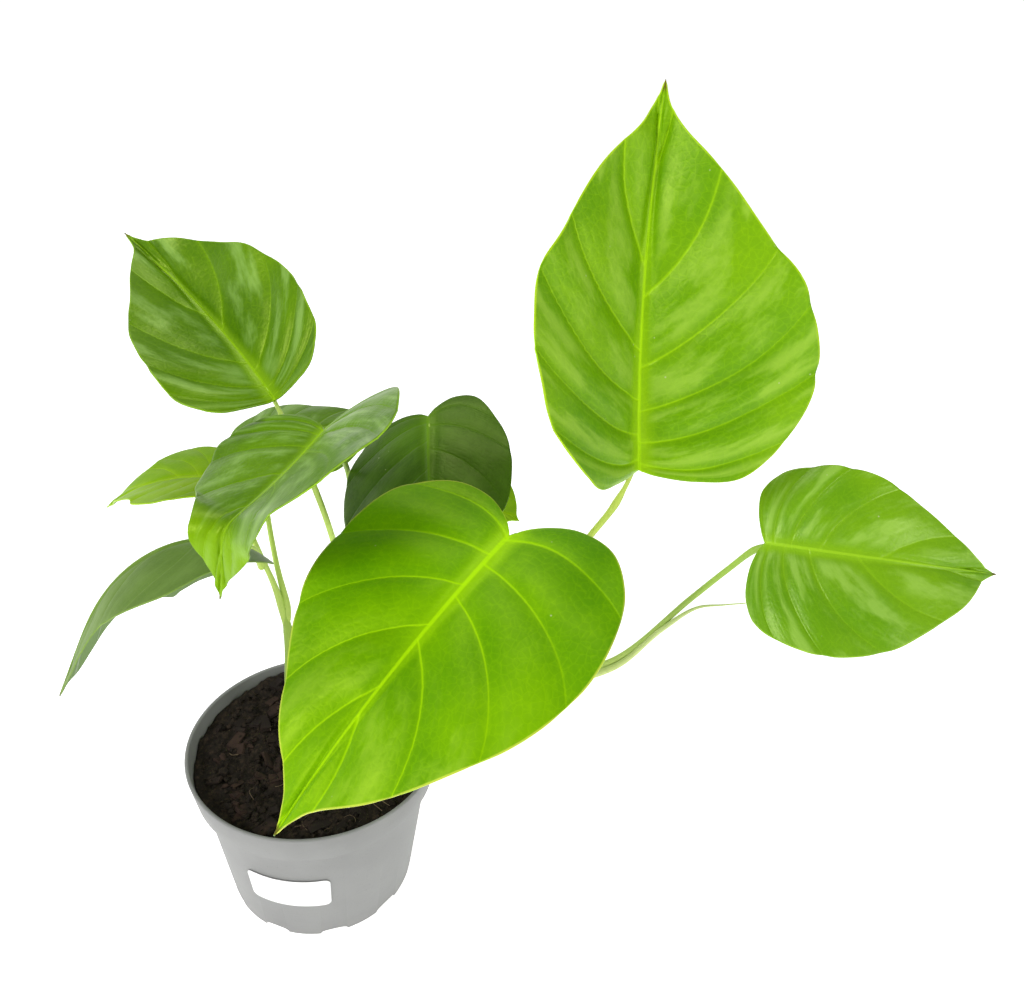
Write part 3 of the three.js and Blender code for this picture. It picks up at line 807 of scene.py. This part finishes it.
def stemRadius(share, along):
    return stalk["stemRadius"] * mixed(1.12, 0.92, share) * mixed(1, 0.45, smooth(0.86, 1, share))


for stemName, points in stems.items():
    name = "stem_" + stemName + "_skin"
    piece = makeStalk(name, points, stemRadius, stemPaint, stalk["stemAround"])
    settle(piece, "stem", "stem_" + stemName)

petiolePaints = {
    "right": rightPetiolePaint, "upright": uprightPetiolePaint,
    "creased": greenPetiolePaint, "dark": greenPetiolePaint,
}


def makePetiole(name, points):
    # The stalk runs on under its blade as the raised midrib.
    leaf = leaves[name]
    midrib = midribOf(leaf)
    size = sizeOf(leaf)
    thick = stalk["petioleRadius"] * mixed(0.8, 1.0, clamp(size))
    ribThick = stalk["ribRadius"] * mixed(0.45, 1.0, clamp(size))
    ribTip = stalk["ribTip"] * size
    sheath = stalk["longSheath"] if name == "right" else stalk["sheathLength"]
    under = []
    for i in range(stalk["ribPoints"]):
        a = mixed(0.03, stalk["ribEnd"], i / (stalk["ribPoints"] - 1))
        point, left, up = midrib(a)
        under.append(point - up * (mixed(ribThick, ribTip, a) + 0.02))
    stalkLength = smoothPath(points)[1]

    def radiusAt(share, along):
        neck = stalk["neck"] * thick * math.exp(-(((stalkLength - along) / stalk["neckLength"]) ** 2))
        if along < stalkLength:
            flare = (stalk["sheathRadius"] - thick) * math.exp(-((along / sheath) ** 2) * 2)
            joined = 1
            if stalkLength > stalk["joinShortest"]:
                joined = mixed(stalk["joinStart"], 1, smooth(0, stalk["joinLength"], along))
            return (thick + flare * min(1, stalkLength / 40)) * joined + neck
        beyond = (along - stalkLength) / (leaf["length"] * stalk["ribEnd"])
        rib = mixed(thick, ribThick, smooth(0, 0.06, beyond))
        return mixed(rib, ribTip, clamp(beyond)) + neck * 0.5

    paint = petiolePaints.get(name, petiolePaint)
    piece = makeStalk("petiole_" + name + "_skin", points + under, radiusAt, paint)
    settle(piece, "petiole", "petiole_" + name)


for petioleName, points in petioles.items():
    makePetiole(petioleName, points)


def shootRadius(share, along):
    sheath = mixed(stalk["shootSheath"], stalk["shootRadius"], smooth(0.35, 0.72, share))
    joined = mixed(0.3, 1, smooth(0, 0.14, share))
    return sheath * joined * mixed(1, 0.25, smooth(0.75, 1, share))


piece = makeStalk("furled_shoot", shoot, shootRadius, shootPaint)
settle(piece, "shoot", "new_shoot")
print("stalks made:", len(stems) + len(petioles) + 1)


# The pot is a spun wall with a rim band, a notched foot and drain holes.
pot = dict(
    height=85, rimDiameter=120, bandHeight=16.5, bandFootDiameter=115,
    wallTopDiameter=108.4, baseDiameter=91, wall=1.4, footWidth=6, padRadius=26,
    channelDepth=2, drainHoles=8, drainHoleDiameter=7, notches=10, notchWidth=13,
    notchHeight=5, notchDip=1.6, firstNotch=-18, lipRadius=0.9, turns=180,
    axisGap=0.01, sharpAngle=40,
    colour=(0.212, 0.213, 0.208), backlitColour=(0.250, 0.251, 0.245),
    speckColour=(0.17, 0.17, 0.17), bottomColour=(0.20, 0.19, 0.17),
)


def wallRadius(height):
    rise = clamp(height / (pot["height"] - pot["bandHeight"]))
    return mixed(pot["baseDiameter"], pot["wallTopDiameter"], rise) / 2


def potProfile():
    rim = pot["rimDiameter"] / 2
    bandFoot = pot["bandFootDiameter"] / 2
    bandBottom = pot["height"] - pot["bandHeight"]
    base = pot["baseDiameter"] / 2
    channelIn = pot["padRadius"] + pot["channelDepth"]
    channelOut = base - pot["footWidth"]
    raised = pot["wall"] + pot["channelDepth"]
    curve = pot["lipRadius"]
    lip = [(rim - curve + curve * math.cos(a), pot["height"] - curve + curve * math.sin(a))
           for a in (math.pi * k / 8 for k in range(9))]
    inner = [(bandFoot - pot["wall"], bandBottom + 2.2),
             (wallRadius(bandBottom) - pot["wall"], bandBottom + 0.6)]
    outer = [(wallRadius(bandBottom), bandBottom - 0.3), (wallRadius(bandBottom) + 0.3, bandBottom),
             (bandFoot - 0.8, bandBottom), (bandFoot - 0.2, bandBottom + 0.2),
             (bandFoot + 0.05, bandBottom + 0.8)]
    return [
        (0, 0), (pot["padRadius"], 0), (channelIn, pot["channelDepth"]),
        (channelOut - pot["channelDepth"], pot["channelDepth"]), (channelOut, 0), (base - 0.8, 0),
        (base - 0.2, 0.25), (base, 0.8), *outer, *lip, *inner,
        (base - pot["wall"], raised + 0.6), (base - pot["wall"] - 1, raised),
        (channelIn - 1, raised), (channelIn - 3, pot["wall"]), (0, pot["wall"]),
    ]


def cutter(name, mesh):
    data = bpy.data.meshes.new(name)
    bmesh.ops.recalc_face_normals(mesh, faces=mesh.faces)
    mesh.to_mesh(data)
    mesh.free()
    made = bpy.data.objects.new(name, data)
    bpy.context.scene.collection.objects.link(made)
    return made


def drainCutter():
    mesh = bmesh.new()
    base = pot["baseDiameter"] / 2
    ring = (pot["padRadius"] + pot["channelDepth"] + base - pot["footWidth"]) / 2 - 1
    for i in range(pot["drainHoles"]):
        turn = 2 * math.pi * i / pot["drainHoles"]
        place = Matrix.Translation(Vector((ring * math.cos(turn), ring * math.sin(turn), 2)) * mm)
        radius = pot["drainHoleDiameter"] / 2 * mm
        bmesh.ops.create_cone(mesh, cap_ends=True, segments=32, radius1=radius, radius2=radius,
                              depth=9 * mm, matrix=place)
    return cutter("drain_cutter", mesh)


def notchCutter():
    mesh = bmesh.new()
    half = pot["notchWidth"] / 2
    inside = pot["baseDiameter"] / 2 - pot["footWidth"] + 1
    high = pot["notchHeight"] - pot["notchDip"]
    turns = [math.pi * k / 12 for k in range(1, 12)]
    arch = [(half * math.cos(a), high * math.sin(a) ** 0.6) for a in turns]
    arch = [(half, -2), *arch, (-half, -2)]
    for i in range(pot["notches"]):
        turn = Matrix.Rotation(math.radians(i * 360 / pot["notches"] + pot["firstNotch"]), 3, "Z")
        verts = [mesh.verts.new(turn @ Vector((x, -inside, z)) * mm) for x, z in arch]
        face = mesh.faces.new(verts)
        grown = bmesh.ops.extrude_face_region(mesh, geom=[face])
        moved = [item for item in grown["geom"] if isinstance(item, bmesh.types.BMVert)]
        bmesh.ops.translate(mesh, verts=moved, vec=turn @ Vector((0, -12, 0)) * mm)
    return cutter("notch_cutter", mesh)


def makePot(paint):
    mesh = bmesh.new()
    verts = [mesh.verts.new(Vector((x, 0, z)) * mm) for x, z in potProfile()]
    edges = [mesh.edges.new(pair) for pair in zip(verts, verts[1:])]
    bmesh.ops.spin(mesh, geom=verts + edges, cent=(0, 0, 0), axis=(0, 0, 1), angle=2 * math.pi,
                   steps=pot["turns"], use_merge=True)
    bmesh.ops.remove_doubles(mesh, verts=mesh.verts, dist=pot["axisGap"] * mm)
    bmesh.ops.recalc_face_normals(mesh, faces=mesh.faces)
    made = finishPiece("pot_body", mesh, [paint])
    cutters = [drainCutter(), notchCutter()]
    for tool in cutters:
        cut = made.modifiers.new("cut", "BOOLEAN")
        cut.object = tool
        cut.solver = "EXACT"
    graph = bpy.context.evaluated_depsgraph_get()
    data = bpy.data.meshes.new_from_object(made.evaluated_get(graph))
    made.modifiers.clear()
    made.data = data
    for tool in cutters:
        bpy.data.objects.remove(tool)
    data.shade_smooth()
    data.set_sharp_from_angle(angle=math.radians(pot["sharpAngle"]))
    return made


def potPaint():
    paint = Paint("pot_plastic", Specular_IOR_Level=0.45)
    where = paint.place()
    cloud = paint.noise(where, 26, 4, 0.6)
    paint.colour = paint.mix(paint.smooth(cloud, 0.3, 0.7), pot["colour"], pot["backlitColour"])
    specks = paint.smooth(paint.noise(where, 1500, 2), 0.62, 0.74)
    paint.lay(specks * 0.22, pot["speckColour"])
    x, y, z = paint.parts(where)
    # Slightly darker towards the bottom of the pot, within 12 mm of the floor.
    nearBottom = 1 - paint.smooth(z, 0.0, 0.012)
    paint.lay(nearBottom * 0.25 * cloud, pot["bottomColour"])
    scratch = paint.vector(x * 40, y * 40, z * 700)
    lines = paint.noise(scratch, 1.0, 3, 0.6)
    grain = paint.bump(paint.noise(where, 2200, 2), 0.16, 0.0002)
    bump = paint.bump(lines, 0.10, 0.0003, grain)
    paint.finish(Roughness=0.46 + cloud * 0.14 + specks * 0.1, Normal=bump)
    return paint


settle(makePot(potPaint()), "pot", "pot")
print("pot made")


# The label is a blank sticker bent round the wall.
label = dict(
    width=39, height=20.5, corner=3, thickness=0.25, angle=-95, middle=37.5,
    held=0.3, columns=40, rows=60, colours=((0.86, 0.86, 0.86), (0.95, 0.95, 0.95)),
)


def labelPoint(u, v):
    across, high, corner = label["width"] / 2, label["height"] / 2, label["corner"]
    y = (2 * v - 1) * high
    over = max(0, abs(y) - (high - corner)) / corner
    x = (2 * u - 1) * (across - corner * (1 - math.sqrt(max(0, 1 - over**2))))
    z = label["middle"] + y
    angle = math.radians(label["angle"]) + x / wallRadius(label["middle"])
    radius = wallRadius(z) + label["held"]
    return radius * math.cos(angle), radius * math.sin(angle), z


def paperPaint():
    paint = Paint("label_paper", Specular_IOR_Level=0.4)
    where = paint.place()
    fibres = paint.noise(where, 700, 4, 0.6)
    paint.colour = paint.mix(fibres, *label["colours"])
    bump = paint.bump(paint.noise(where, 1600, 3), 0.08, 0.0002)
    paint.finish(Roughness=0.5 + fibres * 0.1, Normal=bump)
    return paint


piece = gridMesh("label_sheet", label["columns"], label["rows"], labelPoint, [paperPaint()])
thicken(piece, label["thickness"], 1)
settle(piece, "label", "label")
print("label made")


# The potting mix is a crumbly surface with bark chips, clods and fibres.
soil = dict(
    level=77, heap=4, ripple=1.1, radius=56.9, bottom=3.75, clearance=0.35,
    shoulder=70, topShare=0.86, sides=200, rings=110, seed=5,
    clods=1500, clodReach=53, clodSize=(0.5, 1.7), clodRough=0.16,
    chips=110, chipReach=51, chipLength=(3, 10), chipRough=0.28, sharpAngle=35,
    fibres=22, fibreReach=49, fibreLimit=54, fibreLength=(5, 16),
    fibreRadius=(0.09, 0.22), fibreSides=5, fibreSpacing=1.4,
)
dice = random.Random(soil["seed"])


def soilTop(x, y):
    back = clamp((y + 10) / 60)
    ripple = math.sin(x * 0.23 + 1.1) * math.cos(y * 0.19 - 0.6) + 0.6 * math.sin(x * 0.41 - y * 0.37)
    rough = noise.noise(Vector((x, y, 3)) / 5.5) * 1.5 + noise.noise(Vector((x, y, 9)) / 2.2) * 0.9
    fine = noise.noise(Vector((x, y, 20)) / 0.9) * 0.35
    return soil["level"] + soil["heap"] * back * back + soil["ripple"] * 0.6 * ripple + rough + fine


def insideRadius(height):
    if height > pot["height"] - pot["bandHeight"]:
        return pot["bandFootDiameter"] / 2 - pot["wall"]
    return wallRadius(height) - pot["wall"]


def soilPoint(u, v):
    turn = 2 * math.pi * u
    top = soil["topShare"]
    if v <= top:
        radius = v / top * soil["radius"]
        x, y = radius * math.cos(turn), radius * math.sin(turn)
        return x, y, soilTop(x, y)
    share = (v - top) / (1 - top)
    height = mixed(soil["shoulder"], soil["bottom"], clamp(share * 1.4))
    radius = (insideRadius(min(height, 68)) - soil["clearance"]) * (1 - clamp((share - 0.75) * 4))
    return radius * math.cos(turn), radius * math.sin(turn), height


def soilPaint():
    paint = Paint("potting_mix_paint", Specular_IOR_Level=0.25)
    where = paint.place()
    crumbs = paint.noise(where, 420, 5, 0.7)
    paint.colour = paint.node("ValToRGB", {"stops": [
        (0.30, (0.006, 0.005, 0.003)), (0.50, (0.016, 0.011, 0.007)), (0.72, (0.050, 0.033, 0.020)),
    ]}, {"Fac": crumbs})
    bump = paint.bump(crumbs, 0.8, 0.0012)
    paint.finish(Roughness=0.85 + crumbs * 0.1, Normal=bump)
    return paint


def barkPaint():
    paint = Paint("bark_paint", Specular_IOR_Level=0.3)
    where = paint.place()
    streaks = paint.noise(paint.node("Mapping", inputs={0: where, 3: (1, 1, 4)}), 180, 4, 0.65)
    kind = paint.noise(where, 45, 1)
    paint.colour = paint.mix(paint.smooth(kind, 0.42, 0.58), (0.013, 0.008, 0.005), (0.036, 0.019, 0.012))
    paint.lay(paint.smooth(streaks, 0.45, 0.7) * 0.7, (0.012, 0.007, 0.005))
    bump = paint.bump(streaks, 0.6, 0.001)
    paint.finish(Roughness=0.75 + streaks * 0.15, Normal=bump)
    return paint


def fibrePaint():
    paint = Paint("fibre_paint", Specular_IOR_Level=0.3)
    tint = paint.noise(paint.place(), 120, 2)
    paint.colour = paint.mix(tint, (0.08, 0.05, 0.028), (0.20, 0.15, 0.09))
    paint.finish(Roughness=0.65 + tint * 0.1)
    return paint


def scattered(limit):
    reach = limit * math.sqrt(dice.random())
    turn = 2 * math.pi * dice.random()
    return reach * math.cos(turn), reach * math.sin(turn)


def jitter(upright=1):
    return Vector((dice.gauss(0, 1), dice.gauss(0, 1), dice.gauss(0, upright)))


def turnedAnyhow():
    axis = jitter().normalized()
    return Matrix.Rotation(dice.uniform(0, math.pi), 4, axis)


def addClods(mesh):
    least, more = soil["clodSize"]
    for _ in range(soil["clods"]):
        x, y = scattered(soil["clodReach"])
        size = least + more * dice.random() ** 3
        place = Matrix.Translation(Vector((x, y, soilTop(x, y) + 0.3 * size)) * mm)
        shape = Matrix.Diagonal((1, dice.uniform(0.6, 1), dice.uniform(0.5, 0.9), 1))
        made = bmesh.ops.create_icosphere(mesh, subdivisions=1, radius=size * mm,
                                          matrix=place @ turnedAnyhow() @ shape)
        for vert in made["verts"]:
            vert.co += jitter() * soil["clodRough"] * size * mm


def addChips(mesh):
    flake = bpy.data.meshes.new("flake")
    for _ in range(soil["chips"]):
        x, y = scattered(soil["chipReach"])
        long = dice.uniform(*soil["chipLength"]) * mm
        place = Matrix.Translation(Vector((x, y, soilTop(x, y) + 0.5)) * mm)
        lean = Matrix.Rotation(dice.gauss(0, 0.35), 4, "X") @ Matrix.Rotation(dice.gauss(0, 0.3), 4, "Y")
        spin = Matrix.Rotation(dice.uniform(0, 2 * math.pi), 4, "Z")
        shape = Matrix.Diagonal((long, long * dice.uniform(0.3, 0.65), dice.uniform(0.8, 2) * mm, 1))
        chip = bmesh.new()
        bmesh.ops.create_cube(chip, size=1, matrix=place @ spin @ lean @ shape)
        bmesh.ops.subdivide_edges(chip, edges=chip.edges, cuts=1, use_grid_fill=True)
        for vert in chip.verts:
            vert.co += jitter(0.6) * soil["chipRough"] * mm
        chip.to_mesh(flake)
        chip.free()
        mesh.from_mesh(flake)
    bpy.data.meshes.remove(flake)


def makeScatter(name, fill, paint):
    mesh = bmesh.new()
    fill(mesh)
    bmesh.ops.recalc_face_normals(mesh, faces=mesh.faces)
    piece = finishPiece(name, mesh, [paint])
    piece.data.set_sharp_from_angle(angle=math.radians(soil["sharpAngle"]))
    settle(piece, "potting_mix")


def fibreLines():
    for _ in range(soil["fibres"]):
        x, y = scattered(soil["fibreReach"])
        turn = dice.uniform(0, 2 * math.pi)
        length = dice.uniform(*soil["fibreLength"])
        points = []
        for k in range(4):
            x += length / 4 * math.cos(turn)
            y += length / 4 * math.sin(turn)
            turn += dice.gauss(0, 0.5)
            points.append((x, y, soilTop(x, y) + dice.uniform(0.2, 1.6)))
        if max(math.hypot(p[0], p[1]) for p in points) < soil["fibreLimit"]:
            yield points


def makeFibres(paint):
    parts = []
    for points in fibreLines():
        thick = dice.uniform(*soil["fibreRadius"])
        sides, spacing = soil["fibreSides"], soil["fibreSpacing"]
        parts.append(makeStalk("fibre", points, lambda share, along: thick, paint, sides, spacing))
    mesh = bmesh.new()
    for part in parts:
        mesh.from_mesh(part.data)
        bpy.data.objects.remove(part)
    settle(finishPiece("coir_fibres", mesh, [paint]), "potting_mix")


sides, rings = soil["sides"], soil["rings"]
piece = gridMesh("potting_mix_body", sides, rings, soilPoint, [soilPaint()], closed=True)
settle(piece, "potting_mix", "soil")
makeScatter("soil_clods", addClods, soilPaint())
makeScatter("bark_chips", addChips, barkPaint())
makeFibres(fibrePaint())
print("potting mix made")


# The floor and the light. The sky is white at the horizon and dimmer above the band.
studio = dict(
    floorSize=120.0, floorColours=((0.90, 0.90, 0.90), (0.92, 0.92, 0.92)), floorGlow=0.75,
    sky=0.31, horizon=1.0, horizonBand=(0.10, 0.34),
    lights=[
        ("soft_front_left", (-1.2, -1.2, 1.4), 0.8, 24),
        ("soft_front_right", (1.5, -1.1, 1.0), 0.7, 10),
        ("soft_above", (-0.3, 0.5, 1.9), 0.9, 9),
    ],
)


def makeFloor():
    mesh = bmesh.new()
    bmesh.ops.create_grid(mesh, x_segments=4, y_segments=4, size=studio["floorSize"] / 2)
    paint = Paint("floor_paint", Specular_IOR_Level=0.1)
    tint = paint.noise(paint.place(), 0.8, 2)
    paint.set(Base_Color=paint.mix(tint, *studio["floorColours"]), Roughness=0.8)
    paint.set(Emission_Color=(1.0, 1.0, 1.0), Emission_Strength=studio["floorGlow"])
    floor = finishPiece("floor", mesh, [paint])


def makeSky():
    world = bpy.data.worlds.new("studio_world")
    world.use_nodes = True
    bpy.context.scene.world = world
    sky = Board(world.node_tree)
    height = sky.parts(sky.node("TexCoord", output="Generated"))[2]
    dimmed = sky.smooth(height, *studio["horizonBand"])
    background = sky.nodes["Background"]
    sky.plug(background.inputs["Color"], (1, 1, 1))
    brightness = studio["horizon"] - dimmed * (studio["horizon"] - studio["sky"])
    sky.plug(background.inputs["Strength"], brightness)


def makeLights():
    aim = (cadBox[0] + cadBox[1]) / 2
    for name, place, size, power in studio["lights"]:
        data = bpy.data.lights.new(name, "AREA")
        data.shape = "DISK"
        data.size = size
        data.energy = power
        made = bpy.data.objects.new(name, data)
        made.location = place
        made.rotation_euler = (Vector(place) - aim).to_track_quat("Z", "Y").to_euler()
        bpy.context.scene.collection.objects.link(made)


makeFloor()
makeSky()
makeLights()
bpy.context.scene.view_settings.view_transform = "Standard"
print("studio made")
